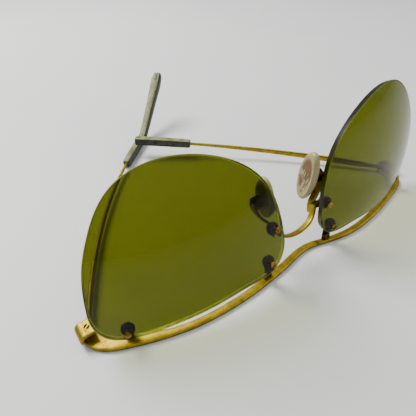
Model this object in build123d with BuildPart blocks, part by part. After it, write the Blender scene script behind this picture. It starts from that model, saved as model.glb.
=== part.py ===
"""Aviator sunglasses: rimless lenses hung on a flat gold brow bar.

The glasses lie upside down on a table: the brow bar lies on z = 0, the temples
point back along +Y and are half folded.  Left means the -X half.  Millimetres.
"""
from build123d import *
import math
import os

os.makedirs("parts", exist_ok=True)

# ---- driving sizes ----
bar_thick = 1.2          # the flat brow bar
bar_reach = 63.3         # half the width of the front
lens_radius = 88.0       # front curve of the glass
lens_thick = 2.0
screw_radius = 0.62      # lens screw shank
head_radius = 0.95       # lens screw head
strap_thick = 0.8
seat_gap = 0.08          # strap to glass
hinge_x = 60.4
hinge_y = 6.8
hinge_pin_radius = 0.60
slot_low = 1.2           # hinge slot, floor and roof
slot_high = 2.65
ear_top = 3.9
temple_chord = 99.0      # hinge to the bend
sleeve_start = 78.0
wire_radius = 0.45
pad_long = 16.5
pad_wide = 7.8
pad_thick = 2.0

# ---- the two halves differ a little: an old, slightly bent frame ----
lens_centre = {-1: (-35.7, -2.75, 22.3), 1: (36.0, -4.5, 21.65)}
lens_lean = {-1: 20.6, 1: 9.8}     # degrees, each lens leaning back
lens_wrap = {-1: 10.8, 1: 9.35}    # degrees, each turned back at the temple side
turn = {-1: 0.0, 1: 1.0}           # degrees, each half of the bar turned back
fold = {-1: 34.5, 1: 44.1}
temple_bow = {-1: 5.4, 1: 3.1}
climb = {-1: 0.0, 1: 0.050}
sleeve_end = {-1: 97.0, 1: 101.5}   # along the chord: the bend, or the blunt end
pad_centre = {-1: (-6.3, 4.05, 20.4), 1: (8.05, 1.95, 22.7)}
pad_tilt = {-1: 10.0, 1: 5.0}       # degrees, the top of each pad towards the nose
pad_splay = {-1: -6.0, 1: 20.0}     # degrees, each pad turned about upright
pad_roll = {-1: 13.0, 1: 9.0}       # degrees, each pad turned in its own face

# ---- outline of a lens: towards the temple, towards the cheek ----
lens_outline = [
    (25.2, -6.2), (22.6, 4.0), (19.2, 10.6), (14.9, 16.4), (9.6, 20.3),
    (3.0, 22.1), (-4.6, 21.7), (-12.0, 19.4), (-19.2, 15.1), (-24.4, 9.4),
    (-27.2, 2.0), (-27.9, -6.4), (-27.0, -13.2), (-23.6, -16.8),
    (-15.4, -17.6), (-4.0, -18.2), (8.0, -18.5), (17.0, -18.2),
    (22.6, -16.4), (25.3, -12.2),
]
nose_screw = (-25.6, -5.7)
bar_screw = (-22.5, -14.9)
end_screw = (18.4, -16.2)

# ---- plan of the brow bar, each half: front edge and back edge ----
bar_front = {
    -1: [
        (4.5, -6.3), (9.5, -7.1), (14.2, -7.7), (18.4, -8.1), (23.0, -8.3), (28.0, -8.3), (33.0, -8.0),
        (38.3, -7.3), (43.4, -6.1), (48.2, -4.7), (52.4, -3.2), (56.4, -1.5), (59.6, 0.5), (61.5, 2.6), (62.6, 5.4),
    ],
    1: [
        (5.2, -4.7), (9.1, -5.2), (13.1, -6.3), (18.3, -7.4), (24.0, -7.8), (31.8, -7.2), (41.3, -5.4),
        (50.2, -3.2), (56.8, -0.9), (60.3, 2.2), (62.2, 6.0),
    ],
}
bar_back = {
    -1: [
        (4.5, -4.0), (11.4, -5.0), (17.6, -5.8), (23.2, -6.2), (28.0, -6.2), (33.7, -5.9), (40.3, -4.8),
        (45.7, -3.0), (51.4, -0.6), (55.0, 1.2), (57.0, 3.0), (58.2, 5.6),
    ],
    1: [
        (4.9, -2.7), (8.1, -3.1), (12.0, -4.2), (15.6, -5.0), (20.3, -5.7), (29.6, -5.3), (38.0, -3.7),
        (45.5, -1.0), (52.0, 2.0), (56.2, 4.8), (57.8, 7.2),
    ],
}

kept = []


def keep(builder, name):
    """Name a finished part and remember it for export."""
    builder.part.label = name
    kept.append(builder.part)


def tag(side):
    return "left" if side < 0 else "right"


def bent(side, x, y):
    """A point of the bar in plan, turned back about the middle of the nose."""
    t = math.radians(side * turn[side])
    return (x * math.cos(t) - (y + 3) * math.sin(t), x * math.sin(t) + (y + 3) * math.cos(t) - 3)


hinge = {side: bent(side, side * hinge_x, hinge_y) for side in (-1, 1)}


def lens_plane(side):
    """Plane of a lens: x across, y up, z backwards."""
    a = math.radians(lens_wrap[side])
    b = math.radians(lens_lean[side])
    across = Vector(-math.cos(a), -side * math.sin(a) * math.cos(b), side * math.sin(a) * math.sin(b))
    back = Vector(-side * math.sin(a), math.cos(a) * math.cos(b), -math.cos(a) * math.sin(b))
    if side > 0:
        across = Vector(-math.cos(a), -math.sin(a) * math.cos(b), math.sin(a) * math.sin(b))
    return Plane(origin=lens_centre[side], x_dir=across, z_dir=back)


def lens_xy(side, place):
    """Outline coordinates to sketch coordinates on the lens plane."""
    return (-side * place[0], place[1]) if side > 0 else (place[0], place[1])


def seat(side, place, depth):
    """Plane square to the glass at a place, depth millimetres behind the front."""
    x, y = lens_xy(side, place)
    plane = lens_plane(side)
    z = lens_radius - math.sqrt(lens_radius ** 2 - x * x - y * y)
    inward = Vector(-x, -y, lens_radius - z) * (1.0 / lens_radius)
    point = Vector(x, y, z) + inward * depth
    origin = plane.from_local_coords(point)
    tip = plane.from_local_coords(point + inward)
    return Plane(origin=origin, x_dir=plane.x_dir, z_dir=tip - origin)


def strip_edges(points, half):
    """The two edges of a strip drawn along a row of points in a plane."""
    left, right = [], []
    last = len(points) - 1
    for i, (x, y) in enumerate(points):
        x0, y0 = points[max(i - 1, 0)]
        x1, y1 = points[min(i + 1, last)]
        length = math.hypot(x1 - x0, y1 - y0)
        nx, ny = -(y1 - y0) / length, (x1 - x0) / length
        left.append((x + nx * half, y + ny * half))
        right.append((x - nx * half, y - ny * half))
    return left, right


# ---- brow bar ----
front_edge = [(-bar_reach, 9.2)] + [(-x, y) for x, y in reversed(bar_front[-1])] + [(0, -5.3)]
front_edge = front_edge + bar_front[1] + [bent(1, bar_reach, 9.2)]
back_edge = [(-58.5, 9.2)] + [(-x, y) for x, y in reversed(bar_back[-1])] + [(0, -3.1)]
back_edge = back_edge + bar_back[1] + [bent(1, 58.5, 9.2)]
with BuildPart() as brow_bar:
    with BuildSketch():
        with BuildLine():
            Spline(*front_edge)
            Line(front_edge[-1], back_edge[-1])
            Spline(*back_edge)
            Line(back_edge[0], front_edge[0])
        make_face()
    extrude(amount=bar_thick)
    with Locations(*[(hinge[side][0], hinge[side][1], 0) for side in (-1, 1)]):
        Cylinder(hinge_pin_radius + 0.02, 4 * bar_thick, mode=Mode.SUBTRACT)
    # a row of small plain notches over the nose, between the lens screws
    with Locations(*[(x, -4.2, bar_thick) for x in (3.0, 4.2, 5.4)]):
        Box(0.4, 0.9, 0.3, mode=Mode.SUBTRACT)
    with Locations(*[(-x, -6.6, bar_thick) for x in (13.0, 14.2, 15.4)]):
        Box(0.4, 0.9, 0.3, mode=Mode.SUBTRACT)
keep(brow_bar, "brow_bar")

for side in (-1, 1):
    # ---- hinge block: an ear folded over the end of the bar ----
    with BuildPart() as endpiece:
        root = bent(side, 0, 9.2)
        t = math.radians(side * turn[side])
        behind = Plane(origin=(root[0], root[1], 0), x_dir=(math.cos(t), math.sin(t), 0), z_dir=(math.sin(t), -math.cos(t), 0))
        with BuildSketch(behind):
            with BuildLine():
                Polyline(
                    (side * 63.3, slot_low), (side * 62.2, slot_low), (side * 62.2, slot_high),
                    (side * 58.7, slot_high), (side * 58.7, ear_top), (side * 63.3, ear_top),
                    close=True,
                )
            make_face()
        extrude(amount=9.2 - 4.2)
        run = endpiece.edges().filter_by(Axis(behind.origin, behind.z_dir))
        fillet(run.group_by(Axis.Z)[-1].sort_by(Axis.X)[0 if side < 0 else -1], 1.1)
        with Locations((*hinge[side], ear_top)):
            Cylinder(hinge_pin_radius + 0.02, 6, mode=Mode.SUBTRACT)
            Cylinder(1.02, 1.1, mode=Mode.SUBTRACT)
    keep(endpiece, "endpiece_" + tag(side))

    # ---- hinge screw, sunk in the ear ----
    with BuildPart() as hinge_screw:
        with Locations((*hinge[side], 0.1)):
            Cylinder(hinge_pin_radius, 3.3, align=(Align.CENTER, Align.CENTER, Align.MIN))
        with Locations((*hinge[side], ear_top - 0.55)):
            Cylinder(1.0, 0.45, align=(Align.CENTER, Align.CENTER, Align.MIN))
        with Locations((*hinge[side], ear_top - 0.1)):
            Box(0.35, 4, 0.4, rotation=(0, 0, 35), mode=Mode.SUBTRACT)
    keep(hinge_screw, "hinge_screw_" + tag(side))

    # ---- lens ----
    with BuildPart() as lens:
        with BuildSketch(lens_plane(side)):
            with BuildLine():
                Spline(*[lens_xy(side, p) for p in lens_outline], periodic=True)
            make_face()
        extrude(amount=12, both=True)
        centre = lens_plane(side).from_local_coords(Vector(0, 0, lens_radius))
        with Locations(centre):
            Sphere(lens_radius, mode=Mode.INTERSECT)
            Sphere(lens_radius - lens_thick, mode=Mode.SUBTRACT)
        for place in (nose_screw, bar_screw, end_screw):
            with Locations(seat(side, place, lens_thick / 2).location):
                Cylinder(screw_radius + 0.08, 5, mode=Mode.SUBTRACT)
    keep(lens, "lens_" + tag(side))

    # ---- the room that the glass takes, kept clear of the straps ----
    with BuildPart() as glass_room:
        with BuildSketch(lens_plane(side)):
            with Locations((0, 2.15)):
                Rectangle(64, 41.5)
        extrude(amount=12, both=True)
        with Locations(centre):
            Sphere(lens_radius + 1, mode=Mode.INTERSECT)
            Sphere(lens_radius - lens_thick - 0.05, mode=Mode.SUBTRACT)

    # ---- three screws with nuts and straps hold each lens ----
    feet = {
        "bar": (bar_screw, Vector(side * 12.5, -6.1 if side < 0 else -4.9, bar_thick - 0.15)),
        "end": (end_screw, Vector(side * 52.6, -0.4 if side < 0 else 0.7, bar_thick - 0.15)),
        "nose": (nose_screw, Vector(side * 7.75, -1.8, 14.6)),
    }
    for spot, (place, foot) in feet.items():
        stack = lens_thick + seat_gap + strap_thick
        with BuildPart() as strap:
            with BuildSketch(seat(side, place, lens_thick + seat_gap)):
                Circle(1.75)
            extrude(amount=strap_thick)
            rest = seat(side, place, lens_thick + seat_gap + strap_thick / 2)
            run = rest.origin - foot
            level = rest.z_dir.cross(run)
            rise = run if spot == "nose" else Vector(0, 0, 1)
            with BuildSketch(Plane(origin=foot, x_dir=level, z_dir=rise)):
                Rectangle(1.9 if spot == "nose" else 2.6, 0.9)
            with BuildSketch(Plane(origin=rest.origin, x_dir=level, z_dir=run)):
                Rectangle(2.4, 0.7)
            loft(ruled=True)
            with Locations(seat(side, place, stack).location):
                Cylinder(screw_radius + 0.02, 6, mode=Mode.SUBTRACT)
                Cylinder(1.6, 2.5, align=(Align.CENTER, Align.CENTER, Align.MIN), mode=Mode.SUBTRACT)
            add(glass_room.part, mode=Mode.SUBTRACT)
        keep(strap, "strap_" + spot + "_" + tag(side))

        with BuildPart() as lens_screw:
            with Locations(seat(side, place, -0.62).location):
                Cylinder(head_radius, 0.6, align=(Align.CENTER, Align.CENTER, Align.MIN))
            fillet(lens_screw.edges().filter_by(GeomType.CIRCLE).sort_by(Axis.Y)[0], 0.4)
            with Locations(seat(side, place, -0.1).location):
                Cylinder(screw_radius, stack + 1.1, align=(Align.CENTER, Align.CENTER, Align.MIN))
            with Locations(seat(side, place, -0.62).location):
                Box(0.4, 4, 0.5, rotation=(0, 0, 40), mode=Mode.SUBTRACT)
        keep(lens_screw, "screw_" + spot + "_" + tag(side))

        with BuildPart() as nut:
            with BuildSketch(seat(side, place, stack + 0.02)):
                RegularPolygon(1.2, 6)
                Circle(screw_radius + 0.02, mode=Mode.SUBTRACT)
            extrude(amount=0.8)
        keep(nut, "nut_" + spot + "_" + tag(side))

# ---- nose bridge: a flat strip arched forwards between the lenses ----
bridge_lean = math.radians(23.7)
bridge_plane = Plane(
    origin=(0, -1.9, 14), x_dir=(1, 0, 0), z_dir=(0, -math.cos(bridge_lean), math.sin(bridge_lean))
)
arch = [(-7.75, 1.2), (-7.7, -0.1), (-7.2, -1.2), (-5.7, -3.0), (-3.4, -4.2), (0.0, -4.7)]
arch = arch + [(-x, z) for x, z in reversed(arch[:-1])]
low, high = strip_edges(arch, 0.45)
with BuildPart() as nose_bridge:
    with BuildSketch(bridge_plane):
        with BuildLine():
            Spline(*low)
            Line(low[-1], high[-1])
            Spline(*high)
            Line(high[0], low[0])
        make_face()
    extrude(amount=1.0, both=True)
keep(nose_bridge, "nose_bridge")

for side in (-1, 1):
    # ---- nose pad: width, then thickness away from the nose, then length ----
    tilt = math.radians(pad_tilt[side])
    splay = math.radians(pad_splay[side])
    roll = math.radians(pad_roll[side])
    outward = Vector(side * math.cos(tilt) * math.cos(splay), -math.sin(splay), -math.sin(tilt))
    width_dir = Vector(side * math.sin(splay), math.cos(splay), 0)
    width_dir = (width_dir - outward * width_dir.dot(outward)).normalized()
    upright = outward.cross(width_dir) * side
    width_dir = width_dir * math.cos(roll) + upright * math.sin(roll)
    pad_plane = Plane(origin=pad_centre[side], x_dir=width_dir, z_dir=outward)

    with BuildPart() as nose_pad:
        with BuildSketch(pad_plane.offset(-pad_thick / 2)):
            Ellipse(pad_wide / 2, pad_long / 2)
        extrude(amount=pad_thick)
        fillet(nose_pad.edges().sort_by(Axis(pad_plane.origin, pad_plane.z_dir))[0], 0.9)
        fillet(nose_pad.edges().sort_by(Axis(pad_plane.origin, pad_plane.z_dir))[-1], 0.5)
    keep(nose_pad, "nose_pad_" + tag(side))

    with BuildPart() as pad_lug:
        with BuildSketch(pad_plane.offset(pad_thick / 2)):
            Rectangle(2.2, 1.4)
        extrude(amount=2.2)
        with Locations(pad_plane.offset(pad_thick / 2 + 1.1).location):
            Cylinder(0.45, 4, rotation=(90, 0, 0), mode=Mode.SUBTRACT)
    keep(pad_lug, "pad_lug_" + tag(side))

    # ---- box that carries the pad on a cross pin ----
    with BuildPart() as pad_box:
        with BuildSketch(pad_plane.offset(pad_thick / 2 + 0.5)):
            with Locations((0, 1.2), (0, -1.2)):
                Rectangle(2.4, 0.6)
        extrude(amount=2.8)
        with BuildSketch(pad_plane.offset(pad_thick / 2 + 2.6)):
            Rectangle(2.4, 3.0)
        extrude(amount=0.7)
        with Locations(pad_plane.offset(pad_thick / 2 + 1.1).location):
            Cylinder(0.41, 5, rotation=(90, 0, 0), mode=Mode.SUBTRACT)
    keep(pad_box, "pad_box_" + tag(side))

    with BuildPart() as pad_pin:
        with Locations(pad_plane.offset(pad_thick / 2 + 1.1).location):
            Cylinder(0.40, 3.4, rotation=(90, 0, 0))
    keep(pad_pin, "pad_pin_" + tag(side))

    # ---- pad arm: a flat strip from the end of the bridge up to the box ----
    arm_end = pad_plane.from_local_coords(Vector(0, 0, pad_thick / 2 + 3.3))
    with BuildPart() as pad_arm:
        with BuildLine():
            arm_path = Spline(
                (side * 8.0, -1.0, 11.2), (side * 8.1, -0.6, 14.6),
                (-9.9, 1.9, 16.9) if side < 0 else (11.0, 0.0, 18.4),
                (arm_end.X, arm_end.Y, arm_end.Z),
            )
        with BuildSketch(Plane(origin=arm_path @ 0, x_dir=(0, 1, 0), z_dir=arm_path % 0)):
            RectangleRounded(2.2, 0.8, 0.3)
        sweep()
    keep(pad_arm, "pad_arm_" + tag(side))


def temple_point(side, along, lift=0.0):
    """A point of the temple centre line, along the chord from the hinge."""
    t = math.radians(fold[side])
    part_way = along / temple_chord
    out = 4 * temple_bow[side] * part_way * (1 - part_way)
    x = hinge[side][0] - side * along * math.sin(t) + side * out * math.cos(t)
    y = hinge[side][1] + along * math.cos(t) + out * math.sin(t)
    z = (slot_low + slot_high) / 2 + climb[side] * max(along - 4.6, 0)
    return Vector(x, y, z + lift)


def across_plane(here, ahead):
    """Plane square to a run, with x level and y upwards."""
    level = Vector(ahead.Y - here.Y, here.X - ahead.X, 0)
    return Plane(origin=here, x_dir=level, z_dir=ahead - here)


for side in (-1, 1):
    t = math.radians(fold[side])
    # ---- temple: a tongue in the hinge slot, a thin blade, then a wire ----
    with BuildPart() as temple:
        with Locations((*hinge[side], slot_low + 0.1)):
            Cylinder(1.7, slot_high - slot_low - 0.2, align=(Align.CENTER, Align.CENTER, Align.MIN))
        first = temple_point(side, 0)
        with BuildSketch(across_plane(first, temple_point(side, 1))):
            Rectangle(1.3, slot_high - slot_low - 0.2)
        with BuildSketch(across_plane(temple_point(side, 4.6), temple_point(side, 5.6))):
            Rectangle(1.3, slot_high - slot_low - 0.2)
        loft(ruled=True)
        for along, thick, tall in ((4.5, 1.3, 1.25), (9, 1.25, 2.1), (22, 1.2, 2.2), (36, 1.15, 2.0),
                                   (50, 1.1, 1.7), (64, 1.1, 1.35), (sleeve_start - 0.05, 1.1, 1.1)):
            with BuildSketch(across_plane(temple_point(side, along), temple_point(side, along + 1))):
                RectangleRounded(thick, tall, 0.3)
        loft()
        here = temple_point(side, sleeve_start - 1.5)
        end = temple_point(side, 95.0)
        with BuildSketch(across_plane(here, end)):
            Circle(wire_radius)
        extrude(amount=(end - here).length)
        with Locations((*hinge[side], 2)):
            Cylinder(hinge_pin_radius + 0.05, 6, mode=Mode.SUBTRACT)
    keep(temple, "temple_" + tag(side))

    # ---- plastic sleeve over the end of the temple ----
    reach = []
    for along, wide, tall in ((sleeve_start, 2.9, 3.3), (84, 3.2, 3.5), (91, 3.3, 3.5),
                              (sleeve_end[side], 3.3, 3.4)):
        reach.append((temple_point(side, along), temple_point(side, along + 1), wide, tall))
    if side < 0:
        root = temple_point(side, sleeve_end[side])
        step = (temple_point(side, sleeve_end[side] + 2) - root).normalized()
        for level, rise, slope, wide, tall in (
            (3.0, 0.5, 0.28, 3.3, 3.4), (6.0, 1.8, 0.5, 3.3, 3.4), (10.0, 4.1, 0.6, 3.4, 3.6), (17.0, 8.4, 0.62, 3.7, 3.9),
            (25.0, 13.5, 0.64, 4.3, 4.2), (30.5, 17.2, 0.66, 4.3, 4.0), (33.0, 18.9, 0.66, 3.4, 2.8),
        ):
            here = root + step * level + Vector(0, 0, rise)
            ahead = here + step + Vector(0, 0, slope)
            reach.append((here, ahead, wide, tall))
    with BuildPart() as sleeve:
        for here, ahead, wide, tall in reach:
            with BuildSketch(across_plane(here, ahead)):
                RectangleRounded(wide, tall, 0.55)
        loft(ruled=True)
        here = temple_point(side, sleeve_start - 1.5)
        end = temple_point(side, 95.0)
        with BuildSketch(across_plane(here, end)):
            Circle(wire_radius + 0.02)
        extrude(amount=(end - here).length + 0.05, mode=Mode.SUBTRACT)
    keep(sleeve, "sleeve_" + tag(side))

# ---- put the origin under the middle of the whole, on the table ----
box = Compound(children=[p.moved(Location()) for p in kept]).bounding_box()
middle = Location((-(box.min.X + box.max.X) / 2, -(box.min.Y + box.max.Y) / 2, -box.min.Z))
for piece in kept:
    placed = piece.moved(middle)
    placed.label = piece.label
    export_step(placed, "parts/" + piece.label + ".step")
print("shift", middle.position, "box", box.min, box.max, len(kept))
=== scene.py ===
"""Aviator sunglasses lying upside down, temples half folded."""
import bpy
import math
import numpy as np
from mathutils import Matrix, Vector


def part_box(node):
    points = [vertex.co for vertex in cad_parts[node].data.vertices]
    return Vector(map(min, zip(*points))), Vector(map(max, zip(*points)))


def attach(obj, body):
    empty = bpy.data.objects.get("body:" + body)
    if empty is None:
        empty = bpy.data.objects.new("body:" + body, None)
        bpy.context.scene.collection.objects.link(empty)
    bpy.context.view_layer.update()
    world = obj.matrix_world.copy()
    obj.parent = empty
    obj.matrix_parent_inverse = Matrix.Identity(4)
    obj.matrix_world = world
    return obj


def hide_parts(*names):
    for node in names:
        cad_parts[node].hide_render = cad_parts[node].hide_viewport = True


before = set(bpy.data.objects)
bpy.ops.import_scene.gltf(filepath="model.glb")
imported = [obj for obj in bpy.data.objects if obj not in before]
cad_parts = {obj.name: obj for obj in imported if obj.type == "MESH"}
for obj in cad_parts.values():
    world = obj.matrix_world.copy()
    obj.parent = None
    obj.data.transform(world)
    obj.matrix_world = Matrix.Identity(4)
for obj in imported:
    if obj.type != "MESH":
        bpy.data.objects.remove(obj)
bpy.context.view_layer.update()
bpy.context.view_layer.update()

# The frame's natural millimetre layout is moved by this much to its place.
# The left ear's low corner lies at (-63.3, 4.2) in that layout.
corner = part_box("endpiece_left")[0]
move = np.array([corner[0] + 0.0633, corner[1] - 0.0042, 0.0])


def place(points):
    """Millimetres of the natural layout to metres of the frame."""
    return np.asarray(points, float) * 0.001 + move


# ---------------------------------------------------------------- sizes
SIDES = {-1: "left", 1: "right"}
glass_radius = 88.0
glass_thick = 2.0
glass_centre = {-1: (-35.7, -2.75, 22.3), 1: (36.0, -4.5, 21.65)}
glass_lean = {-1: 20.6, 1: 9.8}
glass_wrap = {-1: 10.8, 1: 9.35}
half_turn = {-1: 0.0, 1: 1.0}
fold = {-1: 34.5, 1: 44.1}
bow = {-1: 5.4, 1: 3.1}
climb = {-1: 0.0, 1: 0.050}
sleeve_from = 78.0
sleeve_to = {-1: 97.0, 1: 101.5}
pad_middle = {-1: (-6.3, 4.05, 20.4), 1: (8.05, 1.95, 22.7)}
pad_turns = {-1: (10.0, -6.0, 13.0), 1: (5.0, 20.0, 9.0)}    # tilt, splay and roll
pad_half_wide = 3.88
pad_half_long = 8.2
hinge_out = 60.4
hinge_back = 6.8
temple_chord = 99.0
tongue_level = 4.6          # the tongue is level this far, then the temple climbs
temple_height = 1.925
bridge_lean = 23.7
bridge_back = -1.9
bridge_height = 14.0
turn_middle = -3.0          # each half of the bar is turned about this place
face_rings = 26             # rings on each face of a glass
edge_rings = 10             # bands over its ground edge
screws = {"nose": (-25.6, -5.7), "bar": (-22.5, -14.9), "end": (18.4, -16.2)}

rim = [
    (25.2, -6.2), (22.6, 4.0), (19.2, 10.6), (14.9, 16.4), (9.6, 20.3),
    (3.0, 22.1), (-4.6, 21.7), (-12.0, 19.4), (-19.2, 15.1), (-24.4, 9.4),
    (-27.2, 2.0), (-27.9, -6.4), (-27.0, -13.2), (-23.6, -16.8),
    (-15.4, -17.6), (-4.0, -18.2), (8.0, -18.5), (17.0, -18.2),
    (22.6, -16.4), (25.3, -12.2),
]
bar_front = {
    -1: [
        (4.5, -6.3), (9.5, -7.1), (14.2, -7.7), (18.4, -8.1), (23.0, -8.3), (28.0, -8.3), (33.0, -8.0),
        (38.3, -7.3), (43.4, -6.1), (48.2, -4.7), (52.4, -3.2), (56.4, -1.5), (59.6, 0.5), (61.5, 2.6), (62.6, 5.4),
    ],
    1: [
        (5.2, -4.7), (9.1, -5.2), (13.1, -6.3), (18.3, -7.4), (24.0, -7.8), (31.8, -7.2), (41.3, -5.4),
        (50.2, -3.2), (56.8, -0.9), (60.3, 2.2), (62.2, 6.0),
    ],
}
bar_back = {
    -1: [
        (4.5, -4.0), (11.4, -5.0), (17.6, -5.8), (23.2, -6.2), (28.0, -6.2), (33.7, -5.9), (40.3, -4.8),
        (45.7, -3.0), (51.4, -0.6), (55.0, 1.2), (57.0, 3.0), (58.2, 5.6),
    ],
    1: [
        (4.9, -2.7), (8.1, -3.1), (12.0, -4.2), (15.6, -5.0), (20.3, -5.7), (29.6, -5.3), (38.0, -3.7),
        (45.5, -1.0), (52.0, 2.0), (56.2, 4.8), (57.8, 7.2),
    ],
}


# ---------------------------------------------------------------- curves
def lengths(points):
    """Length run from the first point to each point of a line."""
    return np.concatenate([[0], np.cumsum(np.linalg.norm(np.diff(points, axis=0), axis=1))])


def along_line(line, share):
    """Places on an evenly spaced line at the given shares of its length."""
    k = np.linspace(0, 1, len(line))
    return np.stack([np.interp(share, k, line[:, i]) for i in range(line.shape[1])], -1)


def curve(points, count, ring=False):
    """A smooth line through a few points: cubic pieces whose slopes are solved
    so that the bend runs on evenly through every point.  count places on it,
    evenly spaced along its length."""
    p = np.asarray(points, float)
    if ring:
        p = np.vstack([p, p[:1]])
    gap = np.linalg.norm(np.diff(p, axis=0), axis=1)
    n = len(p)
    a = np.zeros((n, n))
    b = np.zeros((n, p.shape[1]))
    for i in range(1, n - 1):
        a[i, i - 1], a[i, i], a[i, i + 1] = gap[i], 2 * (gap[i - 1] + gap[i]), gap[i - 1]
        b[i] = 3 * (gap[i] * (p[i] - p[i - 1]) / gap[i - 1] + gap[i - 1] * (p[i + 1] - p[i]) / gap[i])
    if ring:
        a[0, 0], a[0, -1] = 1, -1
        a[-1, -2], a[-1, -1], a[-1, 1] = gap[0], 2 * (gap[-1] + gap[0]), gap[-1]
        b[-1] = 3 * (gap[0] * (p[-1] - p[-2]) / gap[-1] + gap[-1] * (p[1] - p[0]) / gap[0])
    else:
        a[0, 0], a[0, 1], b[0] = 2, 1, 3 * (p[1] - p[0]) / gap[0]
        a[-1, -1], a[-1, -2], b[-1] = 2, 1, 3 * (p[-1] - p[-2]) / gap[-1]
    slope = np.linalg.solve(a, b)
    start = np.concatenate([[0], np.cumsum(gap)])

    def at(s):
        i = np.clip(np.searchsorted(start, s, side="right") - 1, 0, n - 2)
        h = gap[i][:, None]
        t = ((s - start[i]) / gap[i])[:, None]
        return ((2 * t ** 3 - 3 * t ** 2 + 1) * p[i] + (t ** 3 - 2 * t ** 2 + t) * h * slope[i]
                + (3 * t ** 2 - 2 * t ** 3) * p[i + 1] + (t ** 3 - t ** 2) * h * slope[i + 1])

    fine_s = np.linspace(0, start[-1], 40 * n)
    fine = at(fine_s)
    run = lengths(fine)
    want = np.linspace(0, run[-1], count + 1 if ring else count)
    if ring:
        want = want[:-1]
    return at(np.interp(want, run, fine_s))


def pillow_ring(count, power):
    """Half-size section: cosine and sine of an even turn, each raised to two
    over power, so 2 is an ellipse and larger powers are squarer."""
    t = np.arange(count) * 2 * np.pi / count + np.pi / count
    c, s = np.cos(t), np.sin(t)
    return np.c_[np.sign(c) * np.abs(c) ** (2 / power), np.sign(s) * np.abs(s) ** (2 / power)]


def shell(name, rings, body, stands_for, around=None, second=None):
    """Closed skin over a stack of rings: rows of points joined ring to ring,
    with a point at the middle of the first and last ring closing the ends.
    The map holds the share of the way along and the share of the way round,
    or the two values given in around.  The rings from second[0] to second[1]
    take the piece's second material."""
    n, m = rings.shape[:2]
    verts = np.vstack([rings.reshape(-1, 3), rings[0].mean(0)[None], rings[-1].mean(0)[None]])
    i, j = np.meshgrid(np.arange(n - 1), np.arange(m), indexing="ij")
    k = (j + 1) % m
    quads = np.stack([i * m + j, i * m + k, (i + 1) * m + k, (i + 1) * m + j], -1).reshape(-1, 4)
    j0 = np.arange(m)
    k0 = (j0 + 1) % m
    cap_a = np.stack([np.full(m, n * m), k0, j0], -1)
    cap_b = np.stack([np.full(m, n * m + 1), (n - 1) * m + j0, (n - 1) * m + k0], -1)
    if around is None:
        u, v = np.meshgrid(np.linspace(0, 1, n), np.arange(m) / m, indexing="ij")
        flat = np.stack([u, v], -1).reshape(-1, 2)
        ends = np.array([[0, 0.5], [1, 0.5]])
    else:
        flat = around.reshape(-1, 2)
        ends = np.array([around[0].mean(0), around[-1].mean(0)])
    maps = np.vstack([flat, ends])
    v0, v1, v2 = verts[quads[:, 0]], verts[quads[:, 1]], verts[quads[:, 2]]
    v3 = verts[quads[:, 3]]
    inside = (np.cross(v0, v1) * v2).sum() + (np.cross(v0, v2) * v3).sum()
    if inside < 0:
        quads, cap_a, cap_b = quads[:, ::-1], cap_a[:, ::-1], cap_b[:, ::-1]
    loops = np.concatenate([quads.ravel(), cap_a.ravel(), cap_b.ravel()])
    mesh = bpy.data.meshes.new(name)
    mesh.vertices.add(len(verts))
    mesh.vertices.foreach_set("co", place(verts).astype(np.float32).ravel())
    mesh.loops.add(len(loops))
    mesh.loops.foreach_set("vertex_index", loops.astype(np.int32))
    sizes = np.concatenate([np.full(len(quads), 4), np.full(2 * m, 3)])
    mesh.polygons.add(len(sizes))
    mesh.polygons.foreach_set("loop_start", np.concatenate([[0], np.cumsum(sizes)[:-1]]).astype(np.int32))
    mesh.polygons.foreach_set("use_smooth", np.ones(len(sizes), bool))
    if second:
        which = np.zeros(len(sizes), np.int32)
        which[second[0] * m:second[1] * m] = 1
        mesh.polygons.foreach_set("material_index", which)
    mesh.update(calc_edges=True)
    spread = maps[loops]
    if around is None:
        face = np.repeat(np.arange(len(sizes)), sizes)
        high = np.zeros(len(sizes))
        np.maximum.at(high, face, spread[:, 1])
        seam = (high[face] > 0.75) & (spread[:, 1] < 0.25)
        spread = spread + np.c_[np.zeros(len(loops)), seam]
    layer = mesh.uv_layers.new(name="skin")
    layer.data.foreach_set("uv", spread.astype(np.float32).ravel())
    mesh.validate()
    piece = bpy.data.objects.new(name, mesh)
    bpy.context.scene.collection.objects.link(piece)
    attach(piece, body)
    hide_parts(stands_for)
    return piece


def strip(centre, across, up, wide, tall, power=5.0, count=32, soft_ends=0.35):
    """Rings of a section carried along a line.  centre, across and up are
    rows of points and directions; wide and tall are the full sizes.  Both
    ends draw in over soft_ends millimetres as a quarter of a circle."""
    ring = pillow_ring(count, power)
    run = lengths(centre)
    near = np.minimum(run, run[-1] - run)
    inset = np.clip(1 - near / soft_ends, 0, 1)
    draw = soft_ends * (1 - np.sqrt(np.clip(1 - inset ** 2, 0, 1)))
    w = (np.asarray(wide) / 2 - draw * 0.9)[:, None, None]
    t = (np.asarray(tall) / 2 - draw * 0.9)[:, None, None]
    w, t = np.maximum(w, 0.02), np.maximum(t, 0.02)
    return centre[:, None] + across[:, None] * w * ring[None, :, :1] + up[:, None] * t * ring[None, :, 1:]


def end_steps(total, count, soft_ends=0.35):
    """Places along a run, close together at both ends."""
    edge = soft_ends * (1 - np.cos(np.linspace(0, np.pi / 2, 6)))
    middle = np.linspace(soft_ends, total - soft_ends, count)
    return np.concatenate([edge[:-1], middle, (total - edge[:-1])[::-1]])


def unit(v):
    """Directions of length one."""
    return v / np.linalg.norm(v, axis=-1, keepdims=True)


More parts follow.
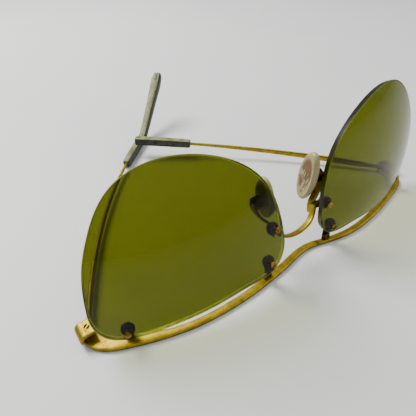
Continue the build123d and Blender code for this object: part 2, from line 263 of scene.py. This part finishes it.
# ---------------------------------------------------------------- glass
def glass_axes(side):
    """Directions of one glass: across, up and backwards."""
    a, b = math.radians(glass_wrap[side]), math.radians(glass_lean[side])
    across = np.array([side * math.cos(a), math.sin(a) * math.cos(b), -math.sin(a) * math.sin(b)])
    back = np.array([-side * math.sin(a), math.cos(a) * math.cos(b), -math.cos(a) * math.sin(b)])
    up = np.array([0.0, math.sin(b), math.cos(b)])
    return across, up, back


def on_glass(side, xy, depth):
    """Points on the ball of the glass: the sag is the radius less the root of
    the radius squared less the distance squared, then depth inwards."""
    across, up, back = glass_axes(side)
    x, y = xy[..., 0], xy[..., 1]
    sag = glass_radius - np.sqrt(glass_radius ** 2 - x * x - y * y)
    k = depth / glass_radius
    point = np.array(glass_centre[side])
    return (point + (x * (1 - k))[..., None] * across + (y * (1 - k))[..., None] * up
            + (sag + (glass_radius - sag) * k)[..., None] * back)


def glass_rings(side):
    """A lens: rings from the middle of the front, out to the rim, over the
    ground edge with its two small bevels, and in again behind."""
    outline = curve(rim, 168, ring=True)
    middle = np.array([-1.0, 0.0])
    arm = outline - middle
    far = np.linalg.norm(arm, axis=1)[:, None]
    share = np.sin(np.linspace(0.04, 1, face_rings) * np.pi / 2)
    steps = [(s, 0.0, 0.32) for s in share]
    steps += [(1, 0.07, 0.14), (1, 0.2, 0.03), (1, 0.36, 0.01)]
    steps += [(1, d, 0.01) for d in np.linspace(0.6, glass_thick - 0.6, 5)]
    steps += [(1, glass_thick - 0.36, 0.01), (1, glass_thick - 0.2, 0.03), (1, glass_thick - 0.07, 0.14)]
    steps += [(s, glass_thick, 0.32) for s in share[::-1]]
    rows, maps = [], []
    for s, depth, draw in steps:
        xy = middle + arm * s * (1 - draw / far)
        rows.append(on_glass(side, xy, np.full(len(xy), depth)))
        outward = s * (1 - draw / 22) if draw > 0.1 else 1.0
        maps.append(np.c_[np.full(len(xy), outward), np.arange(len(xy)) / len(xy)])
    return np.array(rows), np.array(maps)


def seat(side, spot, depth):
    """Middle and directions of a lens screw, square to the glass."""
    xy = np.array(screws[spot], float)
    here = on_glass(side, xy, np.array(0.0))
    inward = unit(on_glass(side, xy, np.array(1.0)) - here)
    across, up, _ = glass_axes(side)
    flat = unit(across - inward * (across @ inward))
    return here + inward * depth, flat, np.cross(inward, flat), inward


def screw_rings(side, spot):
    """A lens screw: a low dome with a rolled edge, a slot sunk across it, and
    its shank through the glass into the nut."""
    middle, a, b, inward = seat(side, spot, 0.0)
    t = np.arange(48) * 2 * np.pi / 48
    turn = math.radians({"nose": 25, "bar": -30, "end": 10}[spot])
    radii, height = np.array([
        (0.08, -0.60), (0.2, -0.598), (0.34, -0.59), (0.48, -0.575), (0.6, -0.55), (0.7, -0.52), (0.79, -0.47),
        (0.86, -0.40), (0.91, -0.31), (0.94, -0.2), (0.94, -0.08), (0.90, 0.0), (0.66, 0.02), (0.62, 0.05),
        (0.62, 3.9), (0.5, 4.0),
    ]).T
    x, y = radii[:, None] * np.cos(t), radii[:, None] * np.sin(t)
    z = np.repeat(height[:, None], 48, 1)
    off = np.abs(y * math.cos(turn) - x * math.sin(turn))
    sunk = np.clip((0.24 - off) / 0.1, 0, 1) * (np.arange(len(radii)) < 9)[:, None]
    z = z + 0.26 * sunk
    rows = middle + x[..., None] * a + y[..., None] * b + z[..., None] * inward
    maps = np.stack([np.repeat((radii / 0.95)[:, None], 48, 1), sunk], -1)
    return rows, maps


# ---------------------------------------------------------------- gold
def bent(side, x, y):
    """A place on the bar in plan, its half turned back about the nose."""
    t = math.radians(side * half_turn[side])
    y = y - turn_middle
    return (x * math.cos(t) - y * math.sin(t), x * math.sin(t) + y * math.cos(t) + turn_middle)


hinge = {side: bent(side, side * hinge_out, hinge_back) for side in SIDES}


def bar_rings():
    """The brow bar: a squarish section between the front and back edges, its
    upper front edge rolled, drawn in at both ends."""
    front = [(-63.25, 9.1)] + [(-x, y) for x, y in bar_front[-1][::-1]] + [(0, -5.3)]
    front += bar_front[1] + [bent(1, 63.25, 9.1)]
    back = [(-58.5, 9.1)] + [(-x, y) for x, y in bar_back[-1][::-1]] + [(0, -3.1)]
    back += bar_back[1] + [bent(1, 58.5, 9.1)]
    edge = 0.15 * (1 - np.cos(np.linspace(0, np.pi / 2, 5)))
    share = np.concatenate([edge[:-1] / 100, np.linspace(0.0015, 0.9985, 260), 1 - edge[:-1][::-1] / 100])
    f = along_line(curve(front, 1200), share)
    b = along_line(curve(back, 1200), share)
    ring = pillow_ring(40, 5.5)
    near = np.minimum(share, 1 - share) * 150
    full = np.sqrt(np.clip(1 - (1 - np.clip(near / 0.22, 0, 1)) ** 2, 0.01, 1))[:, None]
    a = 0.5 + 0.5 * ring[:, 0] * full
    h = 0.6 + 0.6 * ring[:, 1] * (0.6 + 0.4 * full)
    xy = b[:, None] + (f - b)[:, None] * a[..., None]
    crown = 0.10 * (1 - (2 * a - 1) ** 2) * (ring[:, 1] > 0)
    z = h - 0.10 * (ring[:, 1] > 0) + crown
    return np.dstack([xy, z])


def bridge_rings():
    """The nose bridge: a flat strip arched between the two glasses, its
    plane leaning forwards as it goes down."""
    arch = [(-7.75, 1.2), (-7.7, -0.1), (-7.2, -1.2), (-5.7, -3.0), (-3.4, -4.2), (0.0, -4.7)]
    arch += [(-x, z) for x, z in arch[-2::-1]]
    lean = math.radians(bridge_lean)
    line = curve(arch, 160)
    total = lengths(line)[-1]
    x, v = along_line(line, end_steps(total, 90) / total).T
    centre = np.c_[x, bridge_back + v * math.sin(lean), bridge_height + v * math.cos(lean)]
    ahead = unit(np.gradient(centre, axis=0))
    depth = np.tile([0.0, math.cos(lean), -math.sin(lean)], (len(x), 1))
    return strip(centre, depth, np.cross(ahead, depth), np.full(len(x), 2.0), np.full(len(x), 0.9), 4.5)


def turned_out(side, across, along, up):
    """Points laid out on an unturned hinge, turned back with its half."""
    return np.stack([*bent(side, side * across, along), up], -1)


def ear_rings(side):
    """The hinge ear: a strip rising from the end of the bar, rolled over with
    a wide bend and running flat over the temple's tongue."""
    line = curve([(62.74, 1.27), (62.74, 2.1), (62.45, 2.85), (61.8, 3.25), (60.9, 3.3), (58.85, 3.3)], 200)
    total = lengths(line)[-1]
    s = end_steps(total, 60, 0.25) / total
    x, z = along_line(line, s).T
    centre = turned_out(side, x, np.full(len(x), 6.7), z)
    ahead = unit(np.gradient(centre, axis=0))
    deep = turned_out(side, x, np.full(len(x), 7.7), z) - centre
    thick = np.interp(s, [0, 0.25, 1], [1.06, 1.1, 1.14])
    return strip(centre, deep, np.cross(ahead, deep), np.full(len(x), 4.9), thick, 6.0, 40, 0.25)


def hinge_pin_rings(side):
    """The hinge screw: a small slotted dome just proud of the ear."""
    t = np.arange(40) * 2 * np.pi / 40
    radii, height = np.array([
        (0.08, 3.99), (0.22, 3.985), (0.38, 3.98), (0.52, 3.965), (0.64, 3.94), (0.72, 3.9), (0.76, 3.86),
        (0.76, 3.6), (0.58, 3.5), (0.58, 0.15), (0.5, 0.12),
    ]).T
    x, y = radii[:, None] * np.cos(t), radii[:, None] * np.sin(t)
    sunk = np.clip((0.2 - np.abs(y * 0.82 - x * 0.57)) / 0.08, 0, 1) * (np.arange(len(radii)) < 6)[:, None]
    z = height[:, None] - 0.24 * sunk
    rows = np.stack([hinge[side][0] + x, hinge[side][1] + y, z], -1)
    return rows, np.stack([np.repeat((radii / 0.76)[:, None], 40, 1), sunk], -1)


def pad_axes(side):
    """Directions of one nose pad: its width, its length and outwards."""
    tilt, splay, roll = (math.radians(a) for a in pad_turns[side])
    out = np.array([side * math.cos(tilt) * math.cos(splay), -math.sin(splay), -math.sin(tilt)])
    wide = np.array([side * math.sin(splay), math.cos(splay), 0.0])
    wide = unit(wide - out * (wide @ out))
    upright = np.cross(out, wide) * side
    c, s = math.cos(roll), math.sin(roll)
    return wide * c + upright * s, upright * c - wide * s, out


def arm_rings(side):
    """A pad arm: a flat strip from the bridge's end up to the pad's box."""
    _, _, out = pad_axes(side)
    stop = np.array(pad_middle[side]) + out * 4.3
    third = (-9.9, 1.9, 16.9) if side < 0 else (11.0, 0.0, 18.4)
    line = curve([(side * 8.0, -1.0, 11.2), (side * 8.1, -0.6, 14.6), third, tuple(stop)], 160)
    total = lengths(line)[-1]
    s = end_steps(total, 60) / total
    centre = along_line(line, s)
    ahead = unit(np.gradient(centre, axis=0))
    wide = np.array([0.0, 1.0, 0.0]) - ahead * ahead[:, 1:2]
    wide = unit(wide)
    return strip(centre, wide, np.cross(ahead, wide), np.full(len(s), 2.2), np.full(len(s), 0.8), 4.5)


def temple_line(side, along):
    """The temple's middle line: a chord from the hinge with an even outward
    bow, four times the bow times the share times the rest of the share."""
    t = math.radians(fold[side])
    q = along / temple_chord
    out = 4 * bow[side] * q * (1 - q)
    x = hinge[side][0] - side * along * math.sin(t) + side * out * math.cos(t)
    y = hinge[side][1] + along * math.cos(t) + out * math.sin(t)
    return np.stack([x, y, temple_height + climb[side] * np.maximum(along - tongue_level, 0)], -1)


def temple_rings(side):
    """A temple: a tongue in the hinge, a thin blade, then nearly a wire."""
    along = end_steps(sleeve_from + 2.2, 150) - 1.2
    centre = temple_line(side, along)
    ahead = unit(np.gradient(centre, axis=0))
    level = unit(np.c_[ahead[:, 1], -ahead[:, 0], np.zeros(len(along))])
    wide = np.interp(along, [-1.2, 4.5, 9, 22, 36, 50, 64, 80], [1.25, 1.25, 1.2, 1.15, 1.1, 1.05, 1.02, 0.95])
    tall = np.interp(along, [-1.2, 3.8, 5.0, 9, 22, 36, 50, 64, 80],
                     [1.2, 1.2, 1.3, 2.1, 2.2, 2.0, 1.7, 1.35, 1.05])
    return strip(centre, level, np.cross(level, ahead), wide, tall, 3.4)


def sleeve_rings(side):
    """A sleeve: a rounded square tube over the end of the temple.  The left
    one turns up past the bend and spreads into a flat tip."""
    last = [sleeve_to[-1]] if side < 0 else [98, sleeve_to[1]]
    along = np.array([sleeve_from, 81, 84, 87.5, 91, 94] + last, float)
    centre = list(temple_line(side, along))
    wide = list(np.interp(along, [78, 84, 91, 102], [2.85, 3.15, 3.25, 3.25]))
    tall = list(np.interp(along, [78, 84, 91, 102], [3.25, 3.45, 3.45, 3.35]))
    if side < 0:
        root = centre[-1]
        step = unit(temple_line(side, np.array([temple_chord]))[0] - root)
        tip = (
            (3.0, 0.5, 3.25, 3.35), (6.0, 1.8, 3.25, 3.35), (10.0, 4.1, 3.35, 3.55), (17.0, 8.4, 3.65, 3.85),
            (25.0, 13.5, 4.25, 4.15), (30.5, 17.2, 4.25, 3.95), (33.0, 18.9, 3.3, 2.75),
        )
        for level, rise, w, h in tip:
            centre.append(root + step * level + np.array([0, 0, rise]))
            wide.append(w)
            tall.append(h)
    rows = curve(np.c_[np.array(centre), wide, tall], 400)
    run = lengths(rows[:, :3])
    s = end_steps(run[-1], 150, 0.6)
    rows = np.stack([np.interp(s, run, rows[:, i]) for i in range(5)], -1)
    centre = rows[:, :3]
    ahead = unit(np.gradient(centre, axis=0))
    level = unit(np.c_[ahead[:, 1], -ahead[:, 0], np.zeros(len(s))])
    return strip(centre, level, np.cross(level, ahead), rows[:, 3], rows[:, 4], 3.6, 40, 0.6)


def pad_rings(side):
    """A nose pad: an oval pillow, a little hollow inside a raised rim.  The
    map holds the place across and along the oval, from nought to one."""
    wide, long_way, out = pad_axes(side)
    t = np.arange(72) * 2 * np.pi / 72
    face = np.sin(np.linspace(0.05, 1, 20) * np.pi / 2)
    rows = [(s, -1 + 0.16 * (1 - s ** 3)) for s in face * 0.86]
    bends = np.concatenate([np.linspace(0.15, np.pi / 2, 8), np.linspace(np.pi / 2, np.pi - 0.1, 8)[1:]])
    rows += [(0.86 + 0.14 * math.sin(k), -math.cos(k)) for k in bends]
    rows += [(s, 1.0) for s in face[::-1] * 0.86]
    share, lift = np.array(rows).T
    x = share[:, None] * np.cos(t) * pad_half_wide
    y = share[:, None] * np.sin(t) * pad_half_long
    points = (np.array(pad_middle[side]) + x[..., None] * wide + y[..., None] * long_way
              + np.repeat(lift[:, None], 72, 1)[..., None] * out * 0.98)
    maps = np.stack([0.5 + x / (2 * pad_half_wide), 0.5 + y / (2 * pad_half_long)], -1)
    return points, maps


# ---------------------------------------------------------------- finishes
class Board:
    """Short calls for placing and wiring nodes in one tree."""

    def __init__(self, tree):
        self.tree = tree

    def add(self, kind, values=None, **settings):
        """A new node with its settings and its input values or wires."""
        node = self.tree.nodes.new(kind)
        for key, value in settings.items():
            setattr(node, key, value)
        for key, value in (values or {}).items():
            self.feed(value, node.inputs[key])
        return node

    def feed(self, value, socket):
        """A wire when the value is another node's socket, else a number."""
        if isinstance(value, bpy.types.NodeSocket):
            self.tree.links.new(value, socket)
        else:
            socket.default_value = value

    def blend(self, share, a, b):
        """Colour a where share is nought, b where it is one."""
        node = self.tree.nodes.new("ShaderNodeMix")
        node.data_type = "RGBA"
        for index, value in ((0, share), (6, a), (7, b)):
            self.feed(value, node.inputs[index])
        return node.outputs[2]

    def sum(self, how, a, b=0.0, clamp=False):
        """One step of arithmetic on two values."""
        node = self.tree.nodes.new("ShaderNodeMath")
        node.operation = how
        node.use_clamp = clamp
        for index, value in ((0, a), (1, b)):
            self.feed(value, node.inputs[index])
        return node.outputs[0]

    def span(self, value, low, high, to_low=0.0, to_high=1.0):
        """A smooth step from to_low to to_high as value goes from low to high."""
        node = self.tree.nodes.new("ShaderNodeMapRange")
        node.interpolation_type = "SMOOTHSTEP"
        for index, number in enumerate((value, low, high, to_low, to_high)):
            self.feed(number, node.inputs[index])
        return node.outputs[0]

    def noise(self, where, scale, detail, roughness=0.5, distortion=0.0):
        """Cloudy noise from nought to one."""
        values = {"Vector": where, "Scale": scale, "Detail": detail, "Roughness": roughness, "Distortion": distortion}
        return self.add("ShaderNodeTexNoise", values).outputs["Fac"]

    def bump(self, shader, height, strength, distance):
        """Small relief on the shader's normal."""
        node = self.add("ShaderNodeBump", {"Strength": strength, "Distance": distance, "Height": height})
        self.link(node.outputs[0], shader.inputs["Normal"])

    def link(self, a, b):
        self.tree.links.new(a, b)


def group(name, ins, outs):
    """An empty shader group with named inputs and outputs."""
    tree = bpy.data.node_groups.new(name, "ShaderNodeTree")
    for label, kind, value in ins:
        item = tree.interface.new_socket(name=label, in_out="INPUT", socket_type=kind)
        if value is not None:
            item.default_value = value
    for label, kind in outs:
        tree.interface.new_socket(name=label, in_out="OUTPUT", socket_type=kind)
    board = Board(tree)
    start = board.add("NodeGroupInput")
    stop = board.add("NodeGroupOutput")
    return board, start, stop


def make_tarnish():
    """Old age on a surface: broad clouds, small specks that thicken inside
    the clouds, and a fine drawn grain."""
    board, start, stop = group(
        "tarnish",
        [("Vector", "NodeSocketVector", None), ("Size", "NodeSocketFloat", 1.0), ("Spread", "NodeSocketFloat", 0.5)],
        [("Mask", "NodeSocketFloat"), ("Specks", "NodeSocketFloat"), ("Grain", "NodeSocketFloat")],
    )
    scaled = board.add("ShaderNodeVectorMath", {0: start.outputs["Vector"]}, operation="SCALE")
    board.link(start.outputs["Size"], scaled.inputs["Scale"])
    clouds = board.noise(scaled.outputs[0], 160.0, 6.0, 0.62)
    specks = board.noise(scaled.outputs[0], 1150.0, 3.0, 0.7)
    grain = board.noise(scaled.outputs[0], 2600.0, 2.0, 0.6)
    low = board.sum("SUBTRACT", 0.92, board.sum("MULTIPLY", start.outputs["Spread"], 0.55))
    lump = board.sum("ADD", clouds, board.sum("MULTIPLY", specks, 0.35))
    mask = board.span(lump, low, board.sum("ADD", low, 0.22))
    dots = board.span(specks, 0.60, 0.74)
    board.link(mask, stop.inputs["Mask"])
    board.link(dots, stop.inputs["Specks"])
    board.link(grain, stop.inputs["Grain"])
    return board.tree


tarnish = make_tarnish()


def finish_of(name):
    """A new node material with its board, its shader and its output."""
    material = bpy.data.materials.new(name)
    material.use_nodes = True
    tree = material.node_tree
    shader = next(n for n in tree.nodes if n.type == "BSDF_PRINCIPLED")
    output = next(n for n in tree.nodes if n.type == "OUTPUT_MATERIAL")
    return material, Board(tree), shader, output


def aged(board, where, size, spread):
    """The tarnish group on a piece: larger sizes are finer, a larger spread
    covers more."""
    node = board.add("ShaderNodeGroup")
    node.node_tree = tarnish
    board.link(where, node.inputs["Vector"])
    node.inputs["Size"].default_value = size
    node.inputs["Spread"].default_value = spread
    return node


def gold_finish(name, bright, mid, dark, spread, rough, painted_floor_shade=0.0):
    """Worn gold filled metal: bright where it is rubbed, brown where it has
    tarnished, with a fine drawn grain, and painted shade darkening its lowest
    millimetre next to the floor, as strong as the last argument."""
    material, board, shader, _ = finish_of(name)
    where = board.add("ShaderNodeTexCoord").outputs["Object"]
    age = aged(board, where, 1.0, spread)
    tint = board.noise(where, 420.0, 4.0, 0.6)
    body = board.blend(board.span(tint, 0.35, 0.68), bright, mid)
    colour = board.blend(age.outputs["Mask"], body, dark)
    speck_colour = (dark[0] * 0.5, dark[1] * 0.45, dark[2] * 0.4, 1)
    colour = board.blend(board.sum("MULTIPLY", age.outputs["Specks"], 0.55), colour, speck_colour)
    if painted_floor_shade > 0:
        # Painted shade: from 0.15 to 0.9 mm above the floor the colour blends towards a darker tarnish brown,
        # standing in for the contact shadow under the frame.
        height = board.add("ShaderNodeSeparateXYZ", {0: where}).outputs["Z"]
        foot = board.span(height, 0.00015, 0.0009, painted_floor_shade, 0.0)
        colour = board.blend(foot, colour, (dark[0] * 0.6, dark[1] * 0.55, dark[2] * 0.5, 1))
    board.link(colour, shader.inputs["Base Color"])
    shader.inputs["Metallic"].default_value = 1.0
    mask, grain = age.outputs["Mask"], age.outputs["Grain"]
    rub = board.sum("ADD", board.sum("MULTIPLY", mask, 0.24), board.sum("MULTIPLY", grain, 0.16))
    board.link(board.sum("ADD", rub, rough, True), shader.inputs["Roughness"])
    height = board.sum("SUBTRACT", board.sum("MULTIPLY", grain, 0.6), board.sum("MULTIPLY", mask, 0.5))
    board.bump(shader, height, 0.35, 0.00006)
    return material


def glass_finish():
    """Olive glass: paler towards the rim, with rubbed smears, hair scratches
    and a few dark specks.  Its shadow is a light tint."""
    material, board, shader, output = finish_of("olive_glass")
    coords = board.add("ShaderNodeTexCoord")
    where = coords.outputs["Object"]
    skin = board.add("ShaderNodeSeparateXYZ", {0: coords.outputs["UV"]})
    edge = board.span(skin.outputs["X"], 0.984, 0.999)
    smear = board.noise(where, 46.0, 5.0, 0.6, 1.6)
    cloud = board.span(smear, 0.46, 0.72)
    drawn_out = {"Vector": where, "Rotation": (0.3, 0.9, 0.2), "Scale": (60.0, 60.0, 900.0)}
    hair = board.noise(board.add("ShaderNodeMapping", drawn_out).outputs[0], 1.0, 2.0)
    scratch = board.span(hair, 0.70, 0.76)
    dirt = board.span(board.noise(where, 130.0, 6.0, 0.7, 2.2), 0.715, 0.76)
    colour = board.blend(board.sum("MULTIPLY", cloud, 0.30), (0.098, 0.110, 0.0035, 1), (0.066, 0.074, 0.003, 1))
    colour = board.blend(board.sum("MULTIPLY", dirt, 0.75), colour, (0.015, 0.016, 0.002, 1))
    colour = board.blend(edge, colour, (0.25, 0.27, 0.03, 1))
    board.link(colour, shader.inputs["Base Color"])
    rough = board.sum("ADD", board.sum("MULTIPLY", cloud, 0.05), board.sum("MULTIPLY", scratch, 0.10))
    rough = board.sum("ADD", rough, board.sum("MULTIPLY", edge, 0.30))
    board.link(board.sum("ADD", rough, 0.012, True), shader.inputs["Roughness"])
    shader.inputs["Transmission Weight"].default_value = 1.0
    shader.inputs["Metallic"].default_value = 0.0
    shader.inputs["IOR"].default_value = 1.25
    board.bump(shader, smear, 0.05, 0.0001)
    clear = board.add("ShaderNodeBsdfTransparent", {"Color": (0.62, 0.64, 0.48, 1)})
    shadow = board.add("ShaderNodeLightPath").outputs["Is Shadow Ray"]
    mix = board.add("ShaderNodeMixShader", {0: shadow, 1: shader.outputs[0], 2: clear.outputs[0]})
    board.link(mix.outputs[0], output.inputs["Surface"])
    return material


def ground_finish():
    """The ground edge of the glass: matt, dark olive, a little dirty."""
    material, board, shader, _ = finish_of("ground_edge")
    where = board.add("ShaderNodeTexCoord").outputs["Object"]
    age = aged(board, where, 0.7, 0.55)
    colour = board.blend(age.outputs["Mask"], (0.050, 0.058, 0.005, 1), (0.018, 0.021, 0.003, 1))
    board.link(colour, shader.inputs["Base Color"])
    grain = board.sum("MULTIPLY", age.outputs["Grain"], 0.2)
    board.link(board.sum("ADD", grain, 0.42, True), shader.inputs["Roughness"])
    shader.inputs["Transmission Weight"].default_value = 0.25
    shader.inputs["Specular IOR Level"].default_value = 0.12
    return material


def pad_finish():
    """Old cream pads: pale rim, brown rot in the upper middle with short
    strokes running into it, and a green-brown foot."""
    material, board, shader, _ = finish_of("aged_cream")
    coords = board.add("ShaderNodeTexCoord")
    age = aged(board, coords.outputs["Object"], 1.6, 0.45)
    skin = board.add("ShaderNodeSeparateXYZ", {0: coords.outputs["UV"]})
    rise = skin.outputs["Y"]
    across, up = (board.sum("MULTIPLY", board.sum("SUBTRACT", skin.outputs[i], 0.5), 2.0) for i in ("X", "Y"))
    off = board.sum("SQRT", board.sum("ADD", board.sum("MULTIPLY", across, across), board.sum("MULTIPLY", up, up)))
    inner = board.span(off, 0.62, 0.84, 1.0, 0.0)
    upper = board.span(rise, 0.35, 0.72)
    streak = board.add("ShaderNodeMapping", {"Vector": coords.outputs["UV"], "Scale": (9.0, 3.0, 1.0)})
    rot = board.noise(streak.outputs[0], 1.6, 5.0, 0.65)
    amount = board.sum("ADD", rot, board.sum("MULTIPLY", upper, 0.16))
    brown = board.sum("MULTIPLY", board.span(amount, 0.47, 0.54), inner)
    foot = board.sum("MULTIPLY", board.span(rise, 0.22, 0.06), board.span(rot, 0.42, 0.56))
    colour = board.blend(age.outputs["Mask"], (0.34, 0.285, 0.125, 1), (0.25, 0.19, 0.07, 1))
    colour = board.blend(brown, colour, (0.13, 0.065, 0.018, 1))
    colour = board.blend(foot, colour, (0.27, 0.15, 0.045, 1))
    board.link(colour, shader.inputs["Base Color"])
    board.link(board.sum("ADD", board.sum("MULTIPLY", brown, 0.3), 0.42, True), shader.inputs["Roughness"])
    board.bump(shader, board.sum("SUBTRACT", board.sum("MULTIPLY", age.outputs["Grain"], 0.3), brown), 0.5, 0.00015)
    return material


def sleeve_finish():
    """Old sleeves: grey-green with dark streaks running lengthwise and duller
    grey-green clouds, and a painted highlight along the upper side: a pale
    yellow-green band, streaked dark, where the light falls."""
    material, board, shader, _ = finish_of("mottled_sleeve_painted_highlight")
    coords = board.add("ShaderNodeTexCoord")
    age = aged(board, coords.outputs["Object"], 0.9, 0.6)
    skin = board.add("ShaderNodeSeparateXYZ", {0: coords.outputs["UV"]})
    # Painted highlight: the band round the upper side of the tube, where the light falls, takes a pale colour.
    painted_top_light = board.span(board.sum("ABSOLUTE", board.sum("SUBTRACT", skin.outputs["Y"], 0.25)), 0.09, 0.13, 1.0, 0.0)
    stretch = board.add("ShaderNodeMapping", {"Vector": coords.outputs["UV"], "Scale": (7.0, 11.0, 1.0)})
    run = board.noise(stretch.outputs[0], 1.3, 6.0, 0.7)
    side = board.blend(board.span(run, 0.46, 0.60), (0.036, 0.043, 0.022, 1), (0.006, 0.008, 0.005, 1))
    # Colour of the painted highlight band: pale yellow-green with dark lengthwise streaks through it.
    painted_top_colour = board.blend(board.span(run, 0.50, 0.66), (0.22, 0.23, 0.085, 1), (0.022, 0.027, 0.014, 1))
    colour = board.blend(painted_top_light, side, painted_top_colour)
    colour = board.blend(board.sum("MULTIPLY", age.outputs["Mask"], 0.5), colour, (0.035, 0.042, 0.030, 1))
    board.link(colour, shader.inputs["Base Color"])
    grain = board.sum("MULTIPLY", age.outputs["Grain"], 0.25)
    board.link(board.sum("ADD", grain, 0.36, True), shader.inputs["Roughness"])
    shader.inputs["Specular IOR Level"].default_value = 0.3
    board.bump(shader, board.sum("ADD", run, board.sum("MULTIPLY", age.outputs["Grain"], 0.4)), 0.4, 0.00012)
    return material


# The main gold has painted contact shade near the floor, set by its last number.
gold = gold_finish("worn_gold_painted_shade", (0.37, 0.262, 0.022, 1), (0.235, 0.158, 0.014, 1), (0.065, 0.038, 0.007, 1),
                   0.36, 0.38, 0.85)
dull_gold = gold_finish("dull_gold", (0.20, 0.13, 0.022, 1), (0.11, 0.07, 0.014, 1), (0.022, 0.014, 0.005, 1),
                        0.80, 0.42)
rubbed_gold = gold_finish("rubbed_gold", (0.42, 0.235, 0.045, 1), (0.27, 0.145, 0.028, 1), (0.055, 0.028, 0.009, 1),
                          0.60, 0.30)
olive = glass_finish()
ground = ground_finish()
cream = pad_finish()
mottled_painted_highlight = sleeve_finish()


def wear(piece, material):
    """The piece's one material."""
    piece.data.materials.clear()
    piece.data.materials.append(material)


# ---------------------------------------------------------------- pieces
wear(shell("bar", bar_rings(), "front", "brow_bar"), gold)
wear(shell("bridge", bridge_rings(), "front", "nose_bridge"), gold)
for side, word in SIDES.items():
    rings, maps = glass_rings(side)
    lens_piece = shell("glass_" + word, rings, "front", "lens_" + word, maps,
                       second=(face_rings, face_rings + edge_rings))
    wear(lens_piece, olive)
    lens_piece.data.materials.append(ground)
    for spot in screws:
        rings, maps = screw_rings(side, spot)
        tail = spot + "_" + word
        wear(shell("lens_screw_" + tail, rings, "front", "screw_" + tail, maps), rubbed_gold)
    wear(shell("ear_" + word, ear_rings(side), "front", "endpiece_" + word), gold)
    rings, maps = hinge_pin_rings(side)
    wear(shell("hinge_pin_" + word, rings, "front", "hinge_screw_" + word, maps), dull_gold)
    wear(shell("arm_" + word, arm_rings(side), "front", "pad_arm_" + word), gold)
    rings, maps = pad_rings(side)
    wear(shell("pad_" + word, rings, "pad_" + word, "nose_pad_" + word, maps), cream)
    body = "temple_" + word + "_arm"
    wear(shell("blade_" + word, temple_rings(side), body, "temple_" + word), gold)
    wear(shell("tube_" + word, sleeve_rings(side), body, "sleeve_" + word), mottled_painted_highlight)

for name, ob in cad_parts.items():
    if name.startswith(("strap_", "nut_", "pad_box", "pad_pin", "pad_lug")):
        wanted = dull_gold
    elif name.startswith("hinge_screw"):
        wanted = rubbed_gold
    else:
        wanted = gold
    for i in range(len(ob.material_slots)):
        ob.material_slots[i].material = wanted
    if not ob.material_slots:
        ob.data.materials.append(wanted)

# ---------------------------------------------------------------- stage
floor_mesh = bpy.data.meshes.new("floor")
floor_low = -0.0001
floor_corners = [(x, y, floor_low) for x, y in ((-3, -3), (3, -3), (3, 3), (-3, 3))]
floor_mesh.from_pydata(floor_corners, [], [(0, 1, 2, 3)])
floor = bpy.data.objects.new("floor", floor_mesh)
bpy.context.scene.collection.objects.link(floor)
stone, board, shader, _ = finish_of("pale_floor")
cloud = board.noise(board.add("ShaderNodeTexCoord").outputs["Object"], 14.0, 3.0)
board.link(board.blend(cloud, (0.60, 0.605, 0.60, 1), (0.66, 0.655, 0.64, 1)), shader.inputs["Base Color"])
shader.inputs["Roughness"].default_value = 0.55
floor.data.materials.append(stone)

world = bpy.data.worlds.new("room")
bpy.context.scene.world = world
world.use_nodes = True
sky = next(n for n in world.node_tree.nodes if n.type == "BACKGROUND")
sky.inputs["Strength"].default_value = 0.85
room = Board(world.node_tree)
direction = room.add("ShaderNodeTexCoord").outputs["Generated"]
high = room.add("ShaderNodeSeparateXYZ", {0: direction}).outputs["Z"]
air = room.blend(room.span(high, -0.3, 0.9), (0.16, 0.165, 0.16, 1), (0.95, 0.98, 1.0, 1))
room.link(air, sky.inputs["Color"])


def lamp(name, spot, target, size, power, colour):
    """A soft round lamp at spot, facing target."""
    light = bpy.data.lights.new(name, "AREA")
    light.shape = "DISK"
    light.size = size
    light.energy = power
    light.color = colour
    ob = bpy.data.objects.new(name, light)
    ob.location = spot
    ob.rotation_euler = (Vector(target) - Vector(spot)).to_track_quat("-Z", "Y").to_euler()
    bpy.context.scene.collection.objects.link(ob)


lamp("window", (-0.14, 0.40, 0.50), (0, 0, 0), 0.34, 7.5, (1.0, 0.99, 0.97))
lamp("fill", (0.5, -0.3, 0.5), (0, 0, 0), 0.6, 1.2, (0.97, 0.98, 1.0))

# ---------------------------------------------------------------- camera
lens = bpy.data.cameras.new("view")
lens.sensor_width = 36.0
lens.lens = 32.53
lens.clip_start = 0.005
eye = bpy.data.objects.new("view", lens)
bpy.context.scene.collection.objects.link(eye)
eye.location = tuple(place((-63.77, -56.42, 83.74)))
eye.rotation_euler = (math.radians(51.13), math.radians(2.20), math.radians(-34.58))
bpy.context.scene.camera = eye
